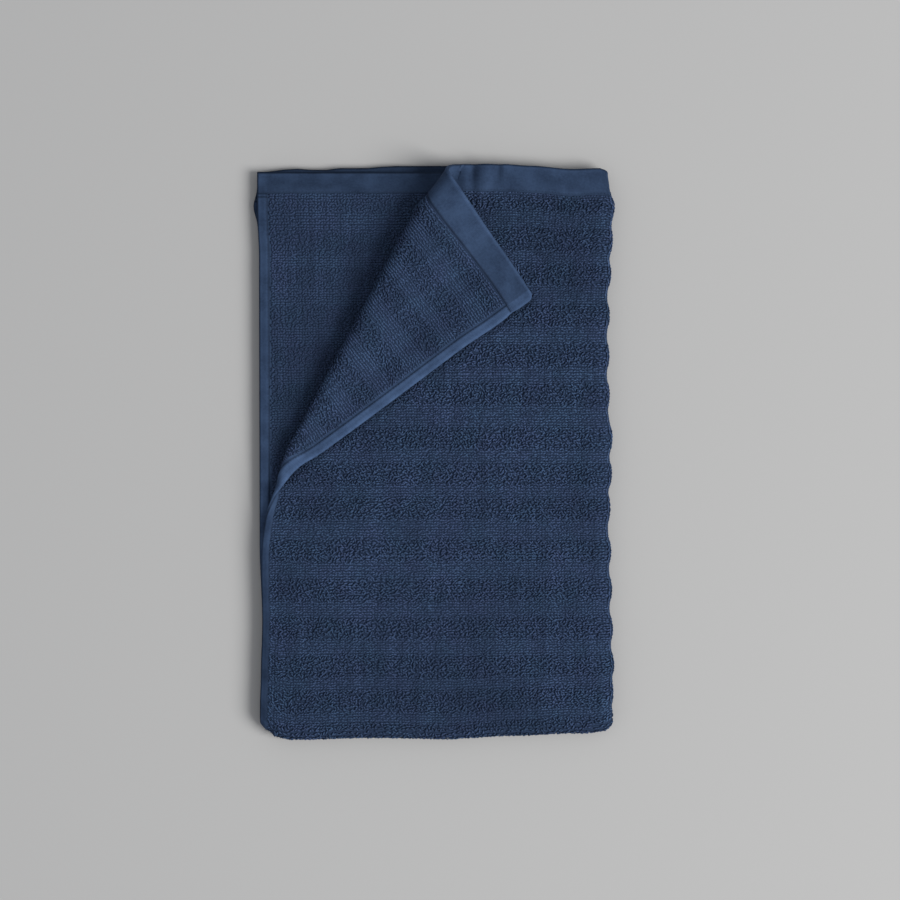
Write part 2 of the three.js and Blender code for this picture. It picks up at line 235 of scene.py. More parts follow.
def layerPull(u, v):
    # the turned corner draws the top layer's left side inwards below the curl
    pull = mix(curl["cornerPull"], curl["pull"], smooth(tipRow - curl["pullRise"], tipRow, v))
    faded = pull * np.exp(-np.maximum(0, v - tipRow) / curl["pullFade"])
    pulled = faded * (1 - smooth(curl["pullStart"], curl["pullEnd"], u))
    return np.where(isTopLayer(u, v), pulled, 0)


def layerPitch(side, end):
    sideDrop = (cloth["layerPitch"] - cloth["pitchAtSide"]) * (1 - smooth(0, cloth["sideHem"], side))
    endDrop = (cloth["layerPitch"] - cloth["pitchAtEnd"]) * (1 - smooth(0, endHem, end))
    return cloth["layerPitch"] - np.maximum(sideDrop, endDrop)


def wave(x, y):
    along = np.cos(y / cloth["waveAlong"][0] + cloth["waveAlong"][1])
    across = np.sin(x / cloth["waveAcross"][0] + cloth["waveAcross"][1])
    return cloth["waveHeight"] * (0.5 + 0.5 * along * across)


def ripple(x, y):
    down = cloth["topEdge"] - y
    at = (x - curl["rippleStart"] + curl["rippleSlant"] * down) / curl["rippleLength"]
    rise = np.where((at > 0) & (at < curl["rippleCount"]), 0.5 - 0.5 * np.cos(2 * math.pi * at), 0)
    return curl["rippleHeight"] * rise * (1 - smooth(curl["rippleFull"], curl["rippleReach"], down))


def creases(x, y):
    down = cloth["topEdge"] - y
    rise = np.zeros_like(down)
    for place, half, height, reach in hemCreases:
        fade = 1 - smooth(creaseHold * reach, reach, down)
        rise = rise + height * bell(x, place, half) * fade
    return rise


def foldedPoint(u, v):
    # the width is folded first, then both layers together along the length
    pitch = layerPitch(sideDistance(u) + layerPull(u, v), endDistance(v))
    turnU = np.clip((u - straightU) / arcU, 0, 1) * math.pi
    upper = np.cos(turnU)
    x = cloth["foldX"] + pitch / 2 * np.sin(turnU)
    x = np.where(u <= straightU, cloth["leftEdge"] + u, x)
    x = np.where(u >= straightU + arcU, cloth["leftEdge"] + clothWidth - u, x)
    reach = pitch + upper * pitch / 2
    turnV = np.clip((v - straightV) / arcV, 0, 1) * math.pi
    y = cloth["foldY"] - reach * np.sin(turnV)
    y = np.where(v <= straightV, cloth["topEdge"] - v, y)
    y = np.where(v >= straightV + arcV, cloth["topEdge"] - clothLength + v, y)
    z = 2 * pitch - pileSink + reach * np.cos(turnV)
    return x, y, z, upper


def laidPoint(u, v):
    # the folded cloth with its uneven edges and the top layer's waves and creases
    foldX, foldY, z, upper = foldedPoint(u, v)
    down = cloth["topEdge"] - foldY
    towardsRight = smooth(*cloth["sideShift"], foldX)
    towardsLeft = smooth(*cloth["sideShift"], -foldX)
    fromFold = np.maximum(0, straightV - endDistance(v))
    x = foldX + shiftAt(rightShift, down) * towardsRight + shiftAt(leftShift, down) * towardsLeft
    x = x + cloth["ribBulge"] * ribSwell(v) * smooth(cloth["ribBulgeStart"], cloth["foldX"], foldX)
    place, reach, shift = cloth["bulge"]
    lowerBulge = shift * bell(down, place, reach) * towardsLeft
    x = x + np.where(v > clothLength / 2, lowerBulge, 0)
    onTop = v < clothLength / 2
    outer = np.where(onTop, shiftAt(topLayerEnd, foldX), cloth["hiddenEndShift"])
    inner = np.where(onTop, cloth["hiddenEndShift"], shiftAt(thirdLayerEnd, foldX))
    y = foldY + mix(inner, outer, (upper + 1) / 2) * (1 - smooth(0, cloth["endShiftFade"], endDistance(v)))
    y = y + shiftAt(bottomShift, foldX) * (1 - smooth(0, cloth["bottomShiftFade"], fromFold))
    tuck, full, gone = cloth["tuckedHem"]
    tucked = tuck * smooth(0, full, v) * (1 - smooth(full, gone, v)) * (1 - upper) / 2
    y = y + np.where(onTop, tucked, 0)
    top = isTopLayer(u, v)
    x = x + np.where(top, layerPull(u, v), 0)
    fromEdges = smooth(0, cloth["waveMargin"], sideDistance(u)) * smooth(0, cloth["waveMargin"], fromFold)
    z = z + np.where(top, wave(x, y) * fromEdges + ripple(x, y) + creases(x, y), 0)
    return np.stack([x, y, z], -1)


curlTop = np.array(curl["top"])
curlLength = math.dist(curl["top"], curl["tip"])
curlAlong = (np.array(curl["tip"]) - curlTop) / curlLength
curlAcross = np.array([curlAlong[1], -curlAlong[0]])


def curlMeasure(point):
    # place along and across the curl's line, its size there, and how far the half turn has come
    offset = point[..., :2] - curlTop
    along = offset @ curlAlong
    depth, fade = curl["topInset"]
    inset = depth * (1 - smooth(0, fade, along))
    depth, rise = curl["tipInset"]
    inset = inset + depth * smooth(curlLength - rise, curlLength, along)
    across = offset @ curlAcross + inset
    share = np.clip((curlLength - along) / (curlLength - curl["cornerAlong"]), 0, curl["largestShare"])
    radius = mix(curl["tipRadius"], curl["radius"], share)
    span = math.pi * radius + (curl["takeUp"] - (math.pi - 2) * curl["radius"]) * share
    return along, across, inset, share, radius, span


def turnedShare(point):
    # how far a point is into the half turn: 0 where it starts, 1 where it is turned over
    _, across, _, _, radius, span = curlMeasure(point)
    return (across + radius) / span


def turnedPoint(point):
    along, across, inset, share, radius, span = curlMeasure(point)
    turned = (across + radius) / span
    arc = math.pi * np.clip(turned, 0, 1)
    past = np.maximum(0, across - (span - radius))
    drop = 2 * radius - curl["rest"]
    easing = curl["slope"] * np.maximum(drop, curl["leastDrop"])
    settled = curl["rest"] + drop * (1 - smooth(0, easing, past))
    height = np.where(turned < 1, radius * (1 - np.cos(arc)), settled)
    newAcross = np.where(turned < 1, -radius + radius * np.sin(arc), -radius - past)
    slide = curl["slide"] * np.minimum(1, share)
    newAlong = along - slide * smooth(-radius, curl["slideReach"], across)
    plan = curlTop + curlAlong * newAlong[..., None] + curlAcross * (newAcross - inset)[..., None]
    resting = restingLevel + wave(plan[..., 0], plan[..., 1])
    level = mix(point[..., 2], resting, smooth(0, 1, turned)) + height
    moved = np.concatenate([plan, level[..., None]], -1)
    return np.where((turned > 0)[..., None], moved, point)


def clothPoint(u, v):
    # where a place on the flat cloth comes to lie
    depth, reach = cloth["cornerRound"]
    inwards = depth * np.exp(-((u**2 + v**2) / reach**2))
    depth, reach = cloth["seamPinch"]
    pinch = depth * bell(v, endHem, reach) * (1 - smooth(0, cloth["sideHem"], u))
    point = laidPoint(u + inwards + pinch, v + inwards)
    return np.where(isTopLayer(u, v)[..., None], turnedPoint(point), point)


def unit(vectors):
    return vectors / np.maximum(np.linalg.norm(vectors, axis=-1, keepdims=True), 1e-9)


def clothAxes(u, v):
    # directions across and along the cloth, and straight out of its outer face
    step = 0.5
    across = clothPoint(np.minimum(u + step, clothWidth), v) - clothPoint(np.maximum(u - step, 0), v)
    along = clothPoint(u, np.minimum(v + step, clothLength)) - clothPoint(u, np.maximum(v - step, 0))
    normal = unit(np.cross(along, across))
    return unit(across), unit(along), normal


# Sheet of ground weave and hems, without the pile
sheet = {
    "groundHalf": 0.75,
    "outerSideHem": 8.0,  # the side hem is turned to the inner face, where it is wider
    "outerStrip": 0.4,  # flat strip without loops beside the hem
    "innerStrip": 2.6,
    "edgeRoll": 1.4,  # the folded edge of a hem is round
    "edgeStrip": 0.5,
    "edgeHalf": 0.3,
    "bead": (2.0, 1.1, 0.35),  # a hem is a little thicker just inside its folded edge
    "hemPucker": (7.0, 0.18, 5),
    "sideStep": 0.7,  # from a hem down to the ground weave
    "endStep": 0.6,
    "grooveDepth": 0.55,  # the sewn inner edge of a hem
    "grooveWidth": 0.7,
    "seamDepth": 0.8,  # across the side hem, where the end hem ends
    # seams beside the end hem: place, strength on the top layer and on the others
    "seams": ((24.4, 0.3, 0), (27.6, 1, 0.8), (30.8, 0, 0.8)),
    "pastHem": 0.8,  # the end hem's weave reaches this far under the pile
    "halvings": 30,
    "leastGap": 8.0,
    "leastFlap": 0.3,
    "belowTip": 24.0,  # rows further down keep the columns found here
    "relaxed": (-10.0, 90.0),
    "relaxedPlaces": (90.0, 170.0),
    "flapCells": 12,
    "curlCells": 14,
    "nearCells": 5,
    "creased": (200.0, 250.0, 24),  # a finer stretch for the creases beside the turned corner
    "flatCells": 12,
    "besideFold": (14.0, 3, 2),  # width and cells
    "bendCells": 8,
    "lower": (150.0, 9, 10),  # place and cells
    "bendRows": 10,
    "rowStep": 4.6,
    "leastRow": 3.0,
    "tipRowStep": 2.4,
    "tipReach": 46.0,
}
hemPlaces = (0, 0.5, 1.3, 2.4, 4.6, 6.9, 7.7, 8.4, 9.4, 10.1, 10.9, 12.6)
endHemPlaces = (
    0, 0.5, 1.3, 2.4, 3.8, 6, 11, 16, 20, 23.6, 24.4, 25.3, 26.4, 27.0, 27.6, 28.4, 29.4, 30.1, 30.8,
    31.5, 32.5, 35,
)


def hemWidths(face):
    # width of the side hem, and the place where the pile starts beside it
    outer = np.asarray(face) > 0
    width = np.where(outer, sheet["outerSideHem"], cloth["sideHem"])
    return width, width + np.where(outer, sheet["outerStrip"], sheet["innerStrip"])


def seamLines(u, v, half):
    # the seams that cross the side hem beside the end hem
    return sum(
        np.where(isTopLayer(u, v), above, below) * bell(endDistance(v), place, half)
        for place, above, below in sheet["seams"]
    )


def sheetHalf(u, v, face):
    # from the cloth's middle to the face of its hems and its ground weave
    side = sideDistance(u)
    end = endDistance(v)
    width, _ = hemWidths(face)
    near = np.minimum(side, end)
    hem = np.where(end < endHem, cloth["endHemThick"], cloth["sideHemThick"]) / 2
    hem = hem + lineAt(near, sheet["bead"])
    hem = hem + spots(u, v, sheet["hemPucker"])
    pastSide = smooth(width, width + sheet["sideStep"], side)
    pastEnd = smooth(endHem, endHem + sheet["endStep"], end)
    half = mix(hem, sheet["groundHalf"], np.minimum(pastSide, pastEnd))
    half = half - sheet["seamDepth"] * seamLines(u, v, sheet["grooveWidth"]) * (side < width)
    groove = bell(side, width, sheet["grooveWidth"]) * (end > endHem)
    half = half - sheet["grooveDepth"] * groove
    roll = np.clip(1 - near / sheet["edgeRoll"], 0, 1)
    atEdge = np.clip(1 - near / sheet["edgeStrip"], 0, 1)
    return mix(half * np.sqrt(1 - roll**2), sheet["edgeHalf"], atEdge)


# Tone of the hems, with painted light and shade: painted highlights on their folded edges, painted shade in
# their seams and grooves, along flat edges and on the lower layers.
# A line's row holds its place, where it has one, and its half width and strength.
hemToneAndShading = {
    "innerSide": 1.55,
    "outerSide": 1.14,
    # painted shade on the hems past the lengthwise fold, which lie lower, in the turned corner's shadow
    "shadedSecondLayer": 0.82,
    "corner": 0.92,
    "coveredCorner": 1.1,
    "lowSide": (440.0, 480.0, 0.78),  # from here to there the side hem falls to the pile's shade
    "lowerLayers": 0.72,  # the lower layers' end hems lie in the shade of the upper ones
    # painted highlight just inside a hem's rolled edge
    "foldedEdgeHighlight": (1.9, 1.1, 0.2),
    # painted shade along the outline of a flat hem, whose rolled edge turns from the light
    "edgeShadeLine": (0.5, 1.4, 0.5),  # dark outline of a hem that lies flat
    # painted highlight along the turned corner's rolled end hem
    "rolledEndHighlight": (1.2, 1.4, 0.22),  # the turned corner's end hem is paler along its rolled edge
    "sideDip": (1.6, 0.1),
    # painted shade in the seam grooves across the side hem
    "seamShade": (1.0, 0.7),
    "seamStart": 0.8,
    # painted shade in the groove at the side hem's inner edge
    "groove": (0.9, 0.45),
    "pileEdge": (0.9, 0.6),  # the dark line where the pile starts beside the end hem
    "faintPileEdge": 0.4,
    "strip": 1.25,
    "stripStart": 0.3,
    "mottle": (9.0, 0.07, 41),
}


def hemTone(u, v, face):
    # the hems' own tone, with painted highlights on folded edges and painted shade in seams, grooves, flat
    # outlines and lower layers
    side = sideDistance(u)
    end = endDistance(v)
    near = np.minimum(side, end)
    width, _ = hemWidths(face)
    outer = np.asarray(face) > 0
    onSide = end > endHem
    onTurned = ~outer & isTopLayer(u, v)
    sideTone = np.where(outer, hemToneAndShading["outerSide"], hemToneAndShading["innerSide"])
    tone = np.where(onSide & (side < width), sideTone, 1.0)
    start, full, share = hemToneAndShading["lowSide"]
    tone = np.where(isTopLayer(u, v), tone * mix(1, share, smooth(start, full, v)), tone)
    tone = np.where(~onSide & (side < width) & onTurned, sideTone * hemToneAndShading["corner"], tone)
    tone = np.where(onSide & (side > width + hemToneAndShading["stripStart"]), hemToneAndShading["strip"], tone)
    # painted highlight just inside the folded edge
    tone = tone + lineAt(near, hemToneAndShading["foldedEdgeHighlight"])
    # painted shade along the outline of a hem that lies flat
    tone = tone * (1 - lineAt(near, hemToneAndShading["edgeShadeLine"]) * ~onTurned)
    # painted highlight along the turned corner's rolled end hem
    tone = tone + lineAt(end, hemToneAndShading["rolledEndHighlight"]) * onTurned
    half, strength = hemToneAndShading["sideDip"]
    tone = tone * (1 - strength * bell(side, width / 2, half) * onSide)
    # painted shade in the seam grooves
    half, strength = hemToneAndShading["seamShade"]
    seams = np.clip(seamLines(u, v, half), 0, 1)
    tone = tone * (1 - strength * seams * (side < width) * (side > hemToneAndShading["seamStart"]))
    # painted shade in the groove beside the side hem
    half, strength = hemToneAndShading["groove"]
    tone = tone * (1 - strength * bell(side, width, half) * onSide)
    half, strength = hemToneAndShading["pileEdge"]
    pileEdge = np.where(outer | (u > straightU), hemToneAndShading["faintPileEdge"], 1) * strength
    tone = tone * (1 - pileEdge * bell(end, endHem, half) * (side > width))
    # painted shade on the hems past the lengthwise fold
    tone = np.where(u > straightU, tone * hemToneAndShading["shadedSecondLayer"], tone)
    tone = np.where(~onSide & (side < width) & ~onTurned, tone * hemToneAndShading["coveredCorner"], tone)
    tone = np.where(~onSide & (v > clothLength / 2), tone * hemToneAndShading["lowerLayers"], tone)
    return tone * (1 + spots(u, v, hemToneAndShading["mottle"]))


def findTurned(v, stage):
    # place across the top layer where the half turn has come this far, for each row
    low = np.zeros_like(v)
    high = np.full_like(v, straightU)
    for _ in range(sheet["halvings"]):
        middle = (low + high) / 2
        further = turnedShare(laidPoint(middle, v)) > stage
        low = np.where(further, middle, low)
        high = np.where(further, high, middle)
    return (low + high) / 2


def sheetRows():
    rows = list(endHemPlaces)
    v = rows[-1]
    while v < straightV - sheet["leastRow"]:
        v += sheet["tipRowStep"] if abs(v - tipRow) < sheet["tipReach"] else sheet["rowStep"]
        rows.append(min(v, straightV))
    if rows[-1] < straightV:
        rows.append(straightV)
    bend = [straightV + arcV * i / sheet["bendRows"] for i in range(1, sheet["bendRows"])]
    return np.array(rows + bend + [clothLength - v for v in reversed(rows)])


def sheetColumns(v):
    # one list of places across the cloth for each row, all of one length
    inner = hemPlaces[-1]
    above = np.minimum(v, tipRow + sheet["belowTip"])
    turnedStart = np.maximum(inner + sheet["leastGap"], findTurned(above, 0))
    turnedEnd = np.maximum(mix(inner, turnedStart, sheet["leastFlap"]), findTurned(above, 1))
    start, end = sheet["relaxed"]
    relaxed = smooth(tipRow + start, tipRow + end, v)
    turnedEnd = mix(turnedEnd, sheet["relaxedPlaces"][0], relaxed)
    turnedStart = mix(turnedStart, sheet["relaxedPlaces"][1], relaxed)
    creasedStart, creasedEnd, creasedCells = sheet["creased"]
    foldWidth, aboveCells, belowCells = sheet["besideFold"]
    fromSide, middleCells, sideCells = sheet["lower"]
    beside = straightU - foldWidth
    one = np.ones_like(v)

    def between(start, end, cells):
        t = np.arange(cells) / cells
        return mix((start * one)[:, None], (end * one)[:, None], t)

    hem = np.array(hemPlaces)
    far = clothWidth - straightU
    parts = [
        one[:, None] * hem[:-1],
        between(inner, turnedEnd, sheet["flapCells"]),
        between(turnedEnd, turnedStart, sheet["curlCells"]),
        between(turnedStart, creasedStart, sheet["nearCells"]),
        between(creasedStart, creasedEnd, creasedCells),
        between(creasedEnd, beside, sheet["flatCells"]),
        between(beside, straightU, aboveCells),
        between(straightU, far, sheet["bendCells"]),
        between(far, far + foldWidth, belowCells),
        between(far + foldWidth, clothWidth - fromSide, middleCells),
        between(clothWidth - fromSide, clothWidth - inner, sideCells),
        one[:, None] * (clothWidth - hem[::-1]),
    ]
    return np.concatenate(parts, 1)


def meshObject(name, points, faces, materials, faceMaterial=None, values=None):
    # points in millimetres, faces as an array of corner numbers, values as named point attributes
    mesh = bpy.data.meshes.new(name)
    mesh.vertices.add(len(points))
    mesh.vertices.foreach_set("co", (points * toMetres).astype(np.float32).ravel())
    corners = faces.shape[1]
    mesh.loops.add(faces.size)
    mesh.loops.foreach_set("vertex_index", faces.astype(np.int32).ravel())
    mesh.polygons.add(len(faces))
    mesh.polygons.foreach_set("loop_start", np.arange(0, faces.size, corners, dtype=np.int32))
    mesh.update(calc_edges=True)
    for material in materials:
        mesh.materials.append(material)
    if faceMaterial is not None:
        mesh.polygons.foreach_set("material_index", faceMaterial.astype(np.int32))
    for key, value in (values or {}).items():
        kind = "FLOAT_VECTOR" if value.ndim == 2 else "FLOAT"
        layer = mesh.attributes.new(key, kind, "POINT")
        layer.data.foreach_set("vector" if value.ndim == 2 else "value", value.astype(np.float32).ravel())
    mesh.shade_smooth()
    thing = bpy.data.objects.new(name, mesh)
    bpy.context.scene.collection.objects.link(thing)
    return thing


def tubeObject(name, points, sides, material, values=None):
    # each row of points is one tube: rings of corners, and then the point at each end
    corners = points.shape[1]
    end = corners - 2
    triangles = []
    for side in range(sides):
        other = (side + 1) % sides
        triangles.append((end, other, side))
        for low in range(0, end - sides, sides):
            a = low + side
            b = low + other
            triangles += [(a, b, b + sides), (a, b + sides, a + sides)]
        triangles.append((end + 1, end - sides + side, end - sides + other))
    faces = (np.arange(len(points))[:, None, None] * corners + np.array(triangles)).reshape(-1, 3)
    return meshObject(name, points.reshape(-1, 3), faces, [material], values=values)


def toLinear(hexColour):
    value = int(hexColour.lstrip("#"), 16)
    parts = [((value >> shift) & 255) / 255 for shift in (16, 8, 0)]
    return tuple(p / 12.92 if p <= 0.04045 else ((p + 0.055) / 1.055) ** 2.4 for p in parts) + (1.0,)


def addNode(tree, kind, inputs=None, **settings):
    node = tree.nodes.new(kind)
    for key, value in settings.items():
        setattr(node, key, value)
    for key, value in (inputs or {}).items():
        if isinstance(value, bpy.types.NodeSocket):
            tree.links.new(value, node.inputs[key])
        else:
            node.inputs[key].default_value = value
    return node


def newMaterial(name):
    material = bpy.data.materials.new(name)
    material.use_nodes = True
    material.node_tree.nodes.clear()
    return material, material.node_tree


def finishMaterial(tree, colour, height, look):
    # relief: strength and height in millimetres, surface: roughness and specular level
    strength, mm = look["relief"]
    rough, specular = look["surface"]
    bump = addNode(
        tree, "ShaderNodeBump", {"Height": height, "Strength": strength, "Distance": mm * toMetres}
    )
    shader = addNode(
        tree,
        "ShaderNodeBsdfPrincipled",
        {
            "Base Color": colour,
            "Roughness": rough,
            "Specular IOR Level": specular,
            "Normal": bump.outputs["Normal"],
        },
    )
    addNode(tree, "ShaderNodeOutputMaterial", {"Surface": shader.outputs["BSDF"]})


def perMetre(mm):
    # scale of a noise whose spots are this many millimetres wide
    return 1000 / mm


def bandScale(mm):
    # scale of a wave texture whose bands repeat at this many millimetres
    return math.pi / 10 * 1000 / mm


def rampColours(node, stops):
    elements = node.color_ramp.elements
    for element, (place, colour) in ((elements[0], stops[0]), (elements[1], stops[-1])):
        element.position = place
        element.color = toLinear(colour)
    for place, colour in stops[1:-1]:
        elements.new(place).color = toLinear(colour)


# Cotton terry loops: ring-spun yarn, dyed in the piece and washed, so matt, soft and uneven,
# with painted shade where the loops part and painted light on their tips
def terryLoopMaterial():
    look = {
        # painted shade at the root and painted light at the tip
        "rootToTipShading": ((0.15, "#253249"), (0.6, "#303f5a"), (1.0, "#3c4d69")),  # from root to tip
        "patchMm": 38.0,
        "patchTone": (0.8, 1.2),
        "dyeMm": 27.0,
        "dye": ((0.35, "#f6fffa"), (0.65, "#fff6fa")),  # a trace greener and redder
        "fibreMm": 0.5,
        "relief": (0.5, 0.2),
        "surface": (0.95, 0.05),
    }
    material, tree = newMaterial("reactive_dyed_terry_loops")
    place = addNode(tree, "ShaderNodeTexCoord").outputs["Object"]
    height = addNode(tree, "ShaderNodeAttribute", attribute_name="yarnHeight").outputs["Fac"]
    tone = addNode(tree, "ShaderNodeAttribute", attribute_name="yarnTone").outputs["Fac"]
    ramp = addNode(tree, "ShaderNodeValToRGB", {"Fac": height})
    rampColours(ramp, look["rootToTipShading"])
    patches, dye, fibres = (
        addNode(tree, "ShaderNodeTexNoise", {"Vector": place, "Scale": perMetre(mm), "Detail": detail})
        for mm, detail in ((look["patchMm"], 3.0), (look["dyeMm"], 4.0), (look["fibreMm"], 2.0))
    )
    least, most = look["patchTone"]
    patchTone = addNode(
        tree, "ShaderNodeMapRange", {"Value": patches.outputs["Fac"], "To Min": least, "To Max": most}
    )
    brightness = addNode(
        tree, "ShaderNodeMath", {0: tone, 1: patchTone.outputs["Result"]}, operation="MULTIPLY"
    )
    dyeTint = addNode(tree, "ShaderNodeValToRGB", {"Fac": dye.outputs["Fac"]})
    rampColours(dyeTint, look["dye"])
    dyed = addNode(
        tree,
        "ShaderNodeVectorMath",
        {0: ramp.outputs["Color"], 1: dyeTint.outputs["Color"]},
        operation="MULTIPLY",
    )
    colour = addNode(
        tree,
        "ShaderNodeVectorMath",
        {0: dyed.outputs["Vector"], "Scale": brightness.outputs["Value"]},
        operation="SCALE",
    )
    finishMaterial(tree, colour.outputs["Vector"], fibres.outputs["Fac"], look)
    return material


# Plain-woven cotton ground under the pile: flat and matt, coloured dark as painted shade under the loops
def groundWeaveMaterial():
    look = {
        # darker than the loops: painted shade under the pile
        "weave": ((0.0, "#1e293b"), (1.0, "#2d3b53")),
        "threadMm": 1.2,
        "stray": 1.5,
        "relief": (0.6, 0.3),
        "surface": (0.95, 0.05),
    }
    material, tree = newMaterial("plain_woven_cotton_ground")
    place = addNode(tree, "ShaderNodeAttribute", attribute_name="clothPlace").outputs["Vector"]
    threads = addNode(
        tree,
        "ShaderNodeTexWave",
        {"Vector": place, "Scale": bandScale(look["threadMm"]), "Distortion": look["stray"], "Detail": 1.0},
        bands_direction="Y",
    )
    ramp = addNode(tree, "ShaderNodeValToRGB", {"Fac": threads.outputs["Fac"]})
    rampColours(ramp, look["weave"])
    finishMaterial(tree, ramp.outputs["Color"], threads.outputs["Fac"], look)
    return material


# Flat-woven cotton hem: close plain weave, smoother than the pile, matt,
# with soft uneven dye; its tone adds painted highlights on folded edges and painted shade in seams and
# grooves
def hemWeaveMaterial():
    look = {
        "dye": ((0.4, "#1e2a3e"), (1.0, "#34455f")),
        "threadMm": 1.2,  # real threads are half that, too fine to show
        "slubMm": 2.2,  # thick and thin places in the yarn
        "patchMm": 22.0,
        "stray": 1.5,
        "slubShare": 0.5,
        "weaveShare": 0.25,
        "relief": (0.35, 0.2),
        "surface": (0.85, 0.06),
    }
    material, tree = newMaterial("flat_woven_cotton_hem")
    place = addNode(tree, "ShaderNodeAttribute", attribute_name="clothPlace").outputs["Vector"]
    tone = addNode(tree, "ShaderNodeAttribute", attribute_name="hemTone").outputs["Fac"]
    scale = bandScale(look["threadMm"])
    threads = {"Vector": place, "Scale": scale, "Distortion": look["stray"], "Detail": 1.0}
    warp = addNode(tree, "ShaderNodeTexWave", threads, bands_direction="X")
    weft = addNode(tree, "ShaderNodeTexWave", threads, bands_direction="Y")
    weave = addNode(
        tree, "ShaderNodeMath", {0: warp.outputs["Fac"], 1: weft.outputs["Fac"]}, operation="MULTIPLY"
    )
    patches, slubs = (
        addNode(tree, "ShaderNodeTexNoise", {"Vector": place, "Scale": perMetre(mm), "Detail": detail})
        for mm, detail in ((look["patchMm"], 3.0), (look["slubMm"], 2.0))
    )
    uneven = addNode(
        tree,
        "ShaderNodeMath",
        {0: slubs.outputs["Fac"], 1: look["slubShare"], 2: patches.outputs["Fac"]},
        operation="MULTIPLY_ADD",
    )
    shade = addNode(
        tree,
        "ShaderNodeMath",
        {0: weave.outputs["Value"], 1: look["weaveShare"], 2: uneven.outputs["Value"]},
        operation="MULTIPLY_ADD",
    )
    ramp = addNode(tree, "ShaderNodeValToRGB", {"Fac": shade.outputs["Value"]})
    rampColours(ramp, look["dye"])
    colour = addNode(
        tree, "ShaderNodeVectorMath", {0: ramp.outputs["Color"], "Scale": tone}, operation="SCALE"
    )
    finishMaterial(tree, colour.outputs["Vector"], weave.outputs["Value"], look)
    return material


# Spun polyester sewing thread: twisted, a little smoother than the cotton around it
def sewingThreadMaterial():
    look = {
        "thread": ((0.0, "#1d2a41"), (1.0, "#33445f")),
        "twistMm": 0.6,
        "stray": 1.0,
        "relief": (0.4, 0.1),
        "surface": (0.7, 0.2),
    }
    material, tree = newMaterial("spun_polyester_thread")
    place = addNode(tree, "ShaderNodeTexCoord").outputs["Object"]
    twist = addNode(
        tree,
        "ShaderNodeTexWave",
        {"Vector": place, "Scale": bandScale(look["twistMm"]), "Distortion": look["stray"]},
        bands_direction="DIAGONAL",
    )
    ramp = addNode(tree, "ShaderNodeValToRGB", {"Fac": twist.outputs["Fac"]})
    rampColours(ramp, look["thread"])
    finishMaterial(tree, ramp.outputs["Color"], twist.outputs["Fac"], look)
    return material


loopMaterial = terryLoopMaterial()
groundMaterial = groundWeaveMaterial()
hemMaterial = hemWeaveMaterial()
threadMaterial = sewingThreadMaterial()
print("materials made")


def buildSheet():
    # two faces, joined by a rim all round
    rowPlaces = sheetRows()
    columnPlaces = sheetColumns(rowPlaces)
    rows, columns = columnPlaces.shape
    count = rows * columns
    u = columnPlaces.ravel()
    v = np.repeat(rowPlaces, columns)
    middle = clothPoint(u, v)
    _, _, normal = clothAxes(u, v)
    outer = middle + normal * sheetHalf(u, v, 1)[:, None]
    inner = middle - normal * sheetHalf(u, v, -1)[:, None]
    number = np.arange(count).reshape(rows, columns)
    quads = np.stack([number[:-1, :-1], number[1:, :-1], number[1:, 1:], number[:-1, 1:]], -1).reshape(-1, 4)
    edge = np.concatenate([number[:, 0], number[-1, 1:], number[-2::-1, -1], number[0, -2:0:-1]])
    following = np.roll(edge, -1)
    rim = np.stack([following, edge, edge + count, following + count], -1)
    faces = np.concatenate([quads, quads[:, ::-1] + count, rim])
    centreU = np.concatenate([u, u])[faces].mean(1)
    centreV = np.concatenate([v, v])[faces].mean(1)
    centreFace = np.repeat([1, -1], count)[faces].mean(1)
    _, pileStart = hemWidths(centreFace)
    inEndHem = endDistance(centreV) < endHem + sheet["pastHem"]
    inHem = (sideDistance(centreU) < pileStart) | inEndHem
    tone = np.concatenate([hemTone(u, v, 1), hemTone(u, v, -1)])
    place = np.stack([u, v, np.zeros_like(u)], -1) * toMetres
    return meshObject(
        "towel_cloth",
        np.concatenate([outer, inner]),
        faces,
        [groundMaterial, hemMaterial],
        faceMaterial=inHem.astype(int),
        values={"clothPlace": np.concatenate([place, place]), "hemTone": tone},
    )


towelCloth = buildSheet()
print("cloth made:", len(towelCloth.data.polygons), "faces")

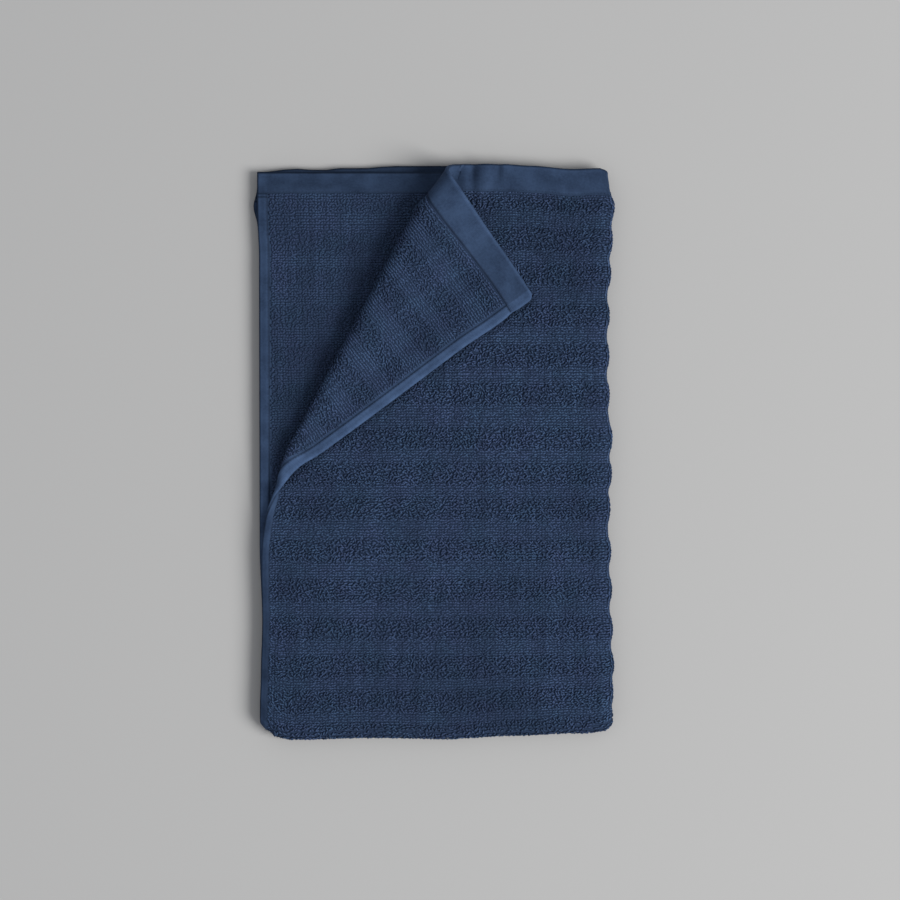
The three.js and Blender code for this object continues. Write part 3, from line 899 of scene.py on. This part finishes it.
# Pile: loops of yarn standing on the ground weave, in rows across the cloth.
# A pair named Both is a value in the neat rows between the ribs, and one on a rib's crest.
pile = {
    "pitch": 2.75,
    "yarnRadius": 0.88,
    "spanBoth": (4.3, 4.1),
    "spanSpread": (0.85, 1.15),
    "proud": 0.35,
    "proudOnFloor": 0.1,
    "jitterBoth": (0.62, 1.05),
    "rowJitter": 0.7,  # loops in neat rows stray less along the cloth
    "leanBoth": (0.45, 1.1),
    "turnBoth": (0.45, 1.3),  # radians either way from the row
    "tangles": ((11.0, 0.5, 23), (43.0, 0.35, 29)),  # size, strength and seed
    "heightSpread": 0.2,
    "flatStart": 2.0,
    "flatRows": 9.0,  # low neat rows beside an end hem, over this length
    "lowAtEnd": 0.3,
    "lowAtSide": (0.6, 7.0),
    "foldCalm": (4.0, 26.0, 0.35),  # the lengthwise fold presses the loops down to this share
    "foldPressed": (8.0, 15.0),
    "foldTurned": (2.5, 5.0),  # on the fold the loops lie along it
    # painted light on the loops over the lengthwise fold, where light from the sides falls
    "foldLight": 0.16,
    "softHeight": 0.8,  # where a pressed pile's colour lies between root and tip
    # painted shade on the rib crests, where the tall loops part
    "crestShade": 0.95,
    "toneSpread": 0.27,
    "toneSpots": (26.0, 0.08, 31),
    "streaks": (4.5, 0.17, 37),  # faint lighter and darker lines along the cloth
    "streakStretch": 12.0,
    "calmer": (200.0, 420.0, 0.68),  # from here to there the pile's contrast falls to this share
    "evenRibs": 0.68,  # there the ribs stand out less, in patches
    "evenPatches": (70.0, 43),
    "evenLevels": (-1.0, 0.6),
    # painted shade on the pile:
    "cornerShade": (4.5, 0.38),  # beside the turned corner's lower side: reach and strength
    "cornerShadeEnd": 30.0,
    "besideHem": 0.9,
    "firstRow": 1.8,
    "firstInnerRow": 2.9,
    "pastFold": 5.0,
    "lowest": 0.05,
}

# One loop is a tube of yarn that rises and comes down again
loop = {
    "rings": 3,
    "sides": 3,
    "stretch": 1.04,
    "swell": 1.35,
    "thinnest": 0.55,
    "ends": (0.02, 0.98),
    "roundness": 0.7,
    "steepness": 0.8,
    "rooted": 0.35,  # depth of its ends in the ground weave
    "leastRise": 0.3,
    "endPlace": 0.46,
    "endLevel": -0.2,
    "leanPower": 1.4,  # it leans mostly near its top
}

# Broad soft patches of painted light and shade on the pile: x, y, reach and strength
paintedPileShading = (
    (135, 215, 75, -0.2), (20, -255, 90, -0.19), (150, -160, 60, 0.08),
    (-60, -120, 70, 0.05), (60, 40, 60, 0.04), (-130, -240, 60, -0.06),
)


def fromSideFold(u):
    return np.abs(u - clothWidth / 2)


def roughness(u, v):
    # 1 where the loops stand up and tangle, 0 where they lie in neat rows
    rough = ribLevel(u, v)
    for row in pile["tangles"]:
        rough = rough + spots(u, v, row)
    start, full, _ = pile["calmer"]
    patches = smooth(*pile["evenLevels"], softNoise(u, v, *pile["evenPatches"]))
    rough = mix(np.clip(rough, 0, 1), 0.5, pile["evenRibs"] * smooth(start, full, v) * patches)
    flatStart = endHem + pile["flatStart"]
    return rough * smooth(flatStart, flatStart + pile["flatRows"], endDistance(v))


def loopStance(u, v, face, contrast, pressed, rng):
    # each loop's height, turn from its row, lean and length
    count = len(u)
    rough = roughness(u, v)
    _, pileStart = hemWidths(face)
    share, reach = pile["lowAtSide"]
    nearHem = np.minimum(
        mix(pile["lowAtEnd"], 1, smooth(endHem, endHem + pile["flatRows"], endDistance(v))),
        mix(share, 1, smooth(pileStart, pileStart + reach, sideDistance(u))),
    )
    start, full, share = pile["foldCalm"]
    calm = mix(share, 1, smooth(start, full, fromSideFold(u)))
    onFloor = (v > clothLength / 2) & (face > 0)
    proud = np.where(onFloor, pile["proudOnFloor"], pile["proud"] * calm)
    pileHalf = mix(cloth["valleyThick"], cloth["crestThick"], ribLevel(u, v)) / 2
    tall = (pileHalf - sheet["groundHalf"]) * pressed + proud
    tall = tall * nearHem * (1 + pile["heightSpread"] * contrast * calm * rng.uniform(-1, 1, count))
    turn = rng.uniform(-1, 1, count) * mix(*pile["turnBoth"], rough) * calm
    onFold = 1 - smooth(*pile["foldTurned"], fromSideFold(u))
    turn = turn + math.pi / 2 * onFold * smooth(arcV / 2, 2 * arcV, np.abs(v - clothLength / 2))
    leanMost = mix(*pile["leanBoth"], rough) * calm
    lean = leanMost[:, None] * rng.uniform(-1, 1, (count, 2))
    span = mix(*pile["spanBoth"], rough) * rng.uniform(*pile["spanSpread"], count)
    return tall, turn, lean, span


def loopTubes(root, axes, tall, lean, span, yarnRadius, contrast):
    # the corners of each loop's tube, and how far up the loop each one is
    direction, sideways, normal = axes
    rings = loop["rings"]
    sides = loop["sides"]
    along = (np.arange(rings) + 0.5) / rings
    along = 0.5 + (along - 0.5) * loop["stretch"]
    thick = np.clip(np.sin(np.pi * along) * loop["swell"], loop["thinnest"], 1)
    rise = np.sin(np.pi * np.clip(along, *loop["ends"])) ** loop["roundness"]
    axial = -np.cos(np.pi * along) * 0.5
    slopeA = np.sin(np.pi * along) * 0.5 * math.pi
    slopeH = np.cos(np.pi * along) * math.pi * loop["steepness"]
    count = len(root)
    corners = sides * rings + 2
    points = np.empty((count, corners, 3))
    height = np.zeros((count, corners))

    def at(a, s, h):
        # a along the loop, s sideways and h up, all per loop
        upright = np.clip(h / tall, 0, 1) ** loop["leanPower"]
        shift = lean * upright[:, None]
        flat = root + direction * (a + shift[:, 0])[:, None] + sideways * (s + shift[:, 1])[:, None]
        return flat + normal * h[:, None]

    centreHeight = np.maximum(tall + loop["rooted"] - yarnRadius, loop["leastRise"])
    for ring in range(rings):
        a = axial[ring] * span
        h = rise[ring] * centreHeight
        tangentA = slopeA[ring] * span
        tangentH = slopeH[ring] * centreHeight
        length = np.hypot(tangentA, tangentH)
        radius = yarnRadius * thick[ring]
        for side in range(sides):
            angle = 2 * math.pi * side / sides - math.pi / 2
            outward = radius * math.sin(angle)
            sidewards = np.full(count, radius * math.cos(angle))
            level = h + tangentA / length * outward
            corner = sides * ring + side
            points[:, corner] = at(a - tangentH / length * outward, sidewards, level)
            height[:, corner] = mix(pile["softHeight"], rise[ring], contrast)
    endLevel = np.full(count, loop["endLevel"])
    for corner, sign in ((corners - 2, -1), (corners - 1, 1)):
        points[:, corner] = at(sign * loop["endPlace"] * span, np.zeros(count), endLevel)
    return points, np.clip(height, 0, 1)


def growPile(name, u, v, face, seed, thickness=1.0, contrast=1.0, pressed=1.0, tintAndShade=1.0, crest=1.0):
    # tint scales a whole piece's tone, as painted shade where it is below one
    # face is 1 on the cloth's outer face and -1 on its inner one, pressed is the height that is left
    rng = np.random.default_rng(seed)
    start, full, share = pile["calmer"]
    contrast = contrast * mix(1, share, smooth(start, full, v))
    across, along, normal = clothAxes(u, v)
    normal = normal * face
    tall, turn, lean, span = loopStance(u, v, face, contrast, pressed, rng)
    direction = across * np.cos(turn)[:, None] + along * np.sin(turn)[:, None]
    axes = (direction, np.cross(normal, direction), normal)
    root = clothPoint(u, v) + normal * (sheet["groundHalf"] - loop["rooted"])
    points, height = loopTubes(root, axes, tall, lean, span, pile["yarnRadius"] * thickness, contrast)
    # painted shade on the rib crests, deeper where crest is below one
    tone = tintAndShade * mix(1, pile["crestShade"] * crest, roughness(u, v))
    tone = tone * (1 + contrast * pile["toneSpread"] * rng.uniform(-1, 1, len(u)))
    streaks = spots(u, v / pile["streakStretch"], pile["streaks"])
    tone = tone * (1 + spots(u, v, pile["toneSpots"])) * (1 + streaks)
    # painted light and shade in broad patches, and painted shade beside the turned corner's lower side
    tone = tone * np.where(face * isTopLayer(u, v) > 0, broadLightAndShade(root) * shadeBesideTurned(root), 1)
    # painted light on the loops over the lengthwise fold
    atFold = 1 - smooth(*pile["foldPressed"], fromSideFold(u))
    tone = tone * (1 + pile["foldLight"] * atFold)
    points[..., 2] = np.maximum(points[..., 2], pile["lowest"])
    values = {"yarnHeight": height.ravel(), "yarnTone": np.repeat(tone, points.shape[1])}
    return tubeObject(name, points, loop["sides"], loopMaterial, values)


def broadLightAndShade(points):
    # painted light and shade in broad soft patches
    shade = np.ones(len(points))
    for x, y, reach, strength in paintedPileShading:
        distance = np.hypot(points[:, 0] - x, points[:, 1] - y)
        shade = shade + strength * bell(distance, 0, reach)
    return shade


def shadeBesideTurned(points):
    # painted shade on the pile beside the turned corner's lower side
    reach, strength = pile["cornerShade"]
    batch = 4000
    v = np.arange(0, tipRow - pile["cornerShadeEnd"], 1.0)
    edge = clothPoint(np.zeros_like(v), v)[:, :2]
    shade = np.ones(len(points))
    for first in range(0, len(points), batch):
        part = slice(first, first + batch)
        gap = points[part, None, :2] - edge
        distance = np.sqrt((gap**2).sum(-1).min(1))
        shade[part] = 1 - strength * bell(distance, 0, reach)
    return shade


def pileSpots(uRange, vRange, seed, spread=1.0):
    rng = np.random.default_rng(seed)
    pitch = pile["pitch"] * spread
    u, v = np.meshgrid(np.arange(*uRange, pitch), np.arange(*vRange, pitch))
    u = u.ravel()
    v = v.ravel()
    rough = roughness(u, v)
    jitter = mix(*pile["jitterBoth"], rough)
    u = u + jitter * rng.uniform(-1, 1, len(u))
    v = v + jitter * mix(pile["rowJitter"], 1, rough) * rng.uniform(-1, 1, len(v))
    return u, v


def pileOuter(name, vRange, seed, spread=1.0):
    start = hemWidths(1)[1] + pile["besideHem"]
    u, v = pileSpots((start, straightU + arcU + pile["pastFold"]), vRange, seed, spread)
    return growPile(name, u, v, 1, seed + 1, spread)


# The inner face's pile that shows on the turned corner, a little flattened
# crest below one deepens the painted shade on its rib crests
turnedPile = {"thickness": 1.1, "contrast": 0.6, "pressed": 0.85, "tintAndShade": 1.01, "crest": 0.9}
turnedPileStart = 0.03  # share of the half turn
turnedPileEnd = 4.0  # below the curl's tip


def pileTurned(name, seed):
    start = hemWidths(-1)[1] + pile["besideHem"]
    u, v = pileSpots((start, straightU), (firstInnerRow, tipRow + turnedPileEnd), seed)
    keep = turnedShare(laidPoint(u, v)) > turnedPileStart
    return growPile(name, u[keep], v[keep], -1, seed + 1, **turnedPile)


# The second layer's pile that the turned corner uncovers
uncovered = {
    "thickness": 1.35,
    "contrast": 0.15,
    "crest": 0.93,
    "lower": (90.0, 230.0),  # rows over which it changes
    "pressed": (0.4, 0.28),
    # painted shade: the uncovered pile is darkened, more in the lower rows, where the turned corner shades
    # it
    "tintAndShade": (0.9, 0.79),
    "belowTip": 30.0,
    "underCurl": -26.0,
}


def pileUncovered(name, seed):
    end = clothWidth - hemWidths(-1)[1] - pile["besideHem"]
    u, v = pileSpots((straightU + arcU, end), (firstRow, tipRow + uncovered["belowTip"]), seed)
    keep = curlMeasure(laidPoint(u, v))[1] > uncovered["underCurl"]
    lower = smooth(*uncovered["lower"], v[keep])
    return growPile(
        name, u[keep], v[keep], -1, seed + 1,
        thickness=uncovered["thickness"], contrast=uncovered["contrast"], crest=uncovered["crest"],
        pressed=mix(*uncovered["pressed"], lower), tintAndShade=mix(*uncovered["tintAndShade"], lower),
    )


hiddenSpread = 1.7  # on hidden faces the loops are this much thicker and wider apart
firstRow = endHem + pile["firstRow"]
firstInnerRow = endHem + pile["firstInnerRow"]
bendRow = straightV + arcV / 2
topRows = np.linspace(firstRow, bendRow, 4)
underRows = np.linspace(bendRow, clothLength - firstRow, 3)
pieces = [
    pileOuter("pile_top_upper", topRows[0:2], 101),
    pileOuter("pile_top_middle", topRows[1:3], 103),
    pileOuter("pile_top_lower", topRows[2:4], 105),
    pileOuter("pile_under_lower", underRows[0:2], 107, hiddenSpread),
    pileOuter("pile_under_upper", underRows[1:3], 109, hiddenSpread),
    pileTurned("pile_turned_corner", 111),
    pileUncovered("pile_second_layer", 113),
]
print("pile made:", {p.name: len(p.data.polygons) for p in pieces})

# Rows of lockstitch that hold the hems
stitch = {
    "pitch": 3.2,
    "length": 2.3,
    "radius": 0.3,
    "sides": 4,
    "shoulder": (0.55, 0.75),  # place along half a stitch, and thickness there
    "sink": 0.08,
    "lift": 0.1,
    "margin": 2.0,
    "fromSideOuter": 7.4,
    "fromSideInner": 9.2,
    "fromEnd": 25.6,
}


def stitchPlaces(face):
    margin = stitch["margin"]
    uRow = np.arange(margin, clothWidth - margin, stitch["pitch"])
    vRow = np.arange(endHem + margin, clothLength - endHem - margin, stitch["pitch"])
    places = []
    for line in (stitch["fromEnd"], clothLength - stitch["fromEnd"]):
        places.append(np.stack([uRow, np.full_like(uRow, line), np.zeros_like(uRow)], -1))
    fromSide = stitch["fromSideOuter"] if face > 0 else stitch["fromSideInner"]
    for line in (fromSide, clothWidth - fromSide):
        places.append(np.stack([np.full_like(vRow, line), vRow, np.ones_like(vRow)], -1))
    return np.concatenate(places)


def sewStitches(name, face):
    # each stitch is a short spindle of thread
    u, v, lengthwise = stitchPlaces(face).T
    across, along, normal = clothAxes(u, v)
    normal = normal * face
    direction = np.where(lengthwise[:, None] > 0, along, across)
    sideways = np.cross(normal, direction)
    root = clothPoint(u, v) + normal * (sheetHalf(u, v, face) - stitch["sink"])[:, None]
    half = stitch["length"] / 2
    sides = stitch["sides"]
    place, thick = stitch["shoulder"]
    points = []
    for station in (-place, place):
        for side in range(sides):
            angle = 2 * math.pi / sides * side
            s = stitch["radius"] * thick * math.cos(angle)
            h = stitch["radius"] * thick * math.sin(angle) + stitch["lift"]
            points.append(root + direction * (station * half) + sideways * s + normal * h)
    points.append(root - direction * half - normal * stitch["lift"])
    points.append(root + direction * half - normal * stitch["lift"])
    return tubeObject(name, np.stack(points, 1), sides, threadMaterial)


pieces += [sewStitches("stitches_outer", 1), sewStitches("stitches_inner", -1)]
print("stitches made")

for piece in [towelCloth] + pieces:
    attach(piece, bodyName)
    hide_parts(nodeName)

# Pale studio floor of matt painted board, with a fine grain
floorLook = {
    "colour": "#aeadab",
    "sizeMm": 12000.0,
    "grainMm": 4.0,
    "relief": (0.05, 0.1),
    "surface": (0.9, 0.1),
}


def buildFloor():
    material, tree = newMaterial("matt_painted_board")
    place = addNode(tree, "ShaderNodeTexCoord").outputs["Object"]
    grain = addNode(tree, "ShaderNodeTexNoise", {"Vector": place, "Scale": perMetre(floorLook["grainMm"])})
    finishMaterial(tree, toLinear(floorLook["colour"]), grain.outputs["Fac"], floorLook)
    half = floorLook["sizeMm"] / 2
    corners = np.array([(-half, -half, 0), (half, -half, 0), (half, half, 0), (-half, half, 0)])
    floor = meshObject("studio_floor", corners, np.array([(0, 1, 2, 3)]), [material])


buildFloor()

# Soft light from above, a little from the lower right, in metres and watts
light = {
    "keyPlace": (4.8, -1.7, 4.3),
    "keySize": 3.9,
    "keyWatts": 496.0,
    "worldColour": "#c9ccd2",
    "worldStrength": 0.79,
}


def aimAt(thing, target):
    direction = np.array(target) - np.array(thing.location)
    thing.rotation_euler = (
        math.atan2(math.hypot(direction[0], direction[1]), -direction[2]),
        0,
        math.atan2(direction[1], direction[0]) - math.pi / 2,
    )


def buildLights():
    lamp = bpy.data.lights.new("soft_key", "AREA")
    lamp.shape = "DISK"
    lamp.size = light["keySize"]
    lamp.energy = light["keyWatts"]
    key = bpy.data.objects.new("soft_key", lamp)
    key.location = light["keyPlace"]
    aimAt(key, (0, 0, 0))
    bpy.context.scene.collection.objects.link(key)
    world = bpy.data.worlds.new("studio")
    world.use_nodes = True
    background = world.node_tree.nodes["Background"]
    background.inputs["Color"].default_value = toLinear(light["worldColour"])
    background.inputs["Strength"].default_value = light["worldStrength"]
    bpy.context.scene.world = world


# Camera straight above, as in the photograph: one millimetre is one pixel on the towel
camera = {
    "place": (0.0155, 0.002, 3.0),
    "focus": 0.02,
    "sensor": 36.0,
    "pictureMm": 900.0,
    "clipEnd": 50.0,
}


def buildCamera():
    lens = bpy.data.cameras.new("top_camera")
    lens.sensor_width = camera["sensor"]
    distance = (camera["place"][2] - camera["focus"]) * 1000
    lens.lens = camera["sensor"] * distance / camera["pictureMm"]
    lens.clip_end = camera["clipEnd"]
    eye = bpy.data.objects.new("top_camera", lens)
    eye.location = camera["place"]
    bpy.context.scene.collection.objects.link(eye)
    bpy.context.scene.camera = eye


buildLights()
buildCamera()
bpy.context.scene.view_settings.view_transform = "Standard"
print("stage made")
